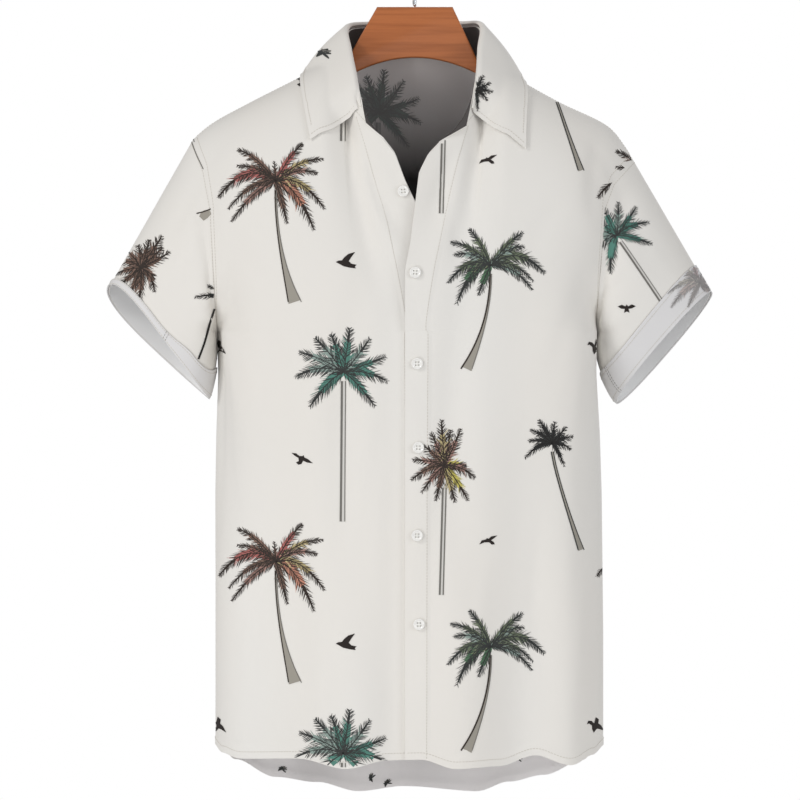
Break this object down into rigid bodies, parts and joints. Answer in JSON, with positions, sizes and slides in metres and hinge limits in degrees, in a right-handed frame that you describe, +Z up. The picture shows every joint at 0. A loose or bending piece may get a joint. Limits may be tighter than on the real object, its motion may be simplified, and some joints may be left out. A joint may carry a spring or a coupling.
{
  "type": "hawaiian shirt on a wooden hanger",
  "caption": "Short-sleeved printed shirt with an open collar and a buttoned front, filled out as worn and hung on a broad wooden hanger with a steel hook.",
  "frame": {"origin": "the point of the hanger's hook that rests on its rail", "axes": "+Z up, +X to the shirt's own left, front of the shirt towards -Y"},
  "size_m": [0.6104, 0.2119, 0.8699],
  "materials": {
    "cloth": "soft smooth woven cloth, ivory",
    "buttons": "white, softly glossy",
    "wood": "reddish stained and lacquered wood",
    "steel": "bright steel wire"
  },
  "bodies": {
    "root": {"shirt_back": "cloth", "front_right": "cloth", "front_left": "cloth", "sleeve_right": "cloth", "sleeve_left": "cloth", "cuff_right": "cloth", "cuff_left": "cloth", "collar_stand": "cloth", "collar_leaf": "cloth", "hanger_wood": "wood", "hanger_hook": "steel", "button_1": "buttons", "button_2": "buttons", "button_3": "buttons", "button_4": "buttons", "button_5": "buttons", "button_6": "buttons"}
  },
  "joints": []
}
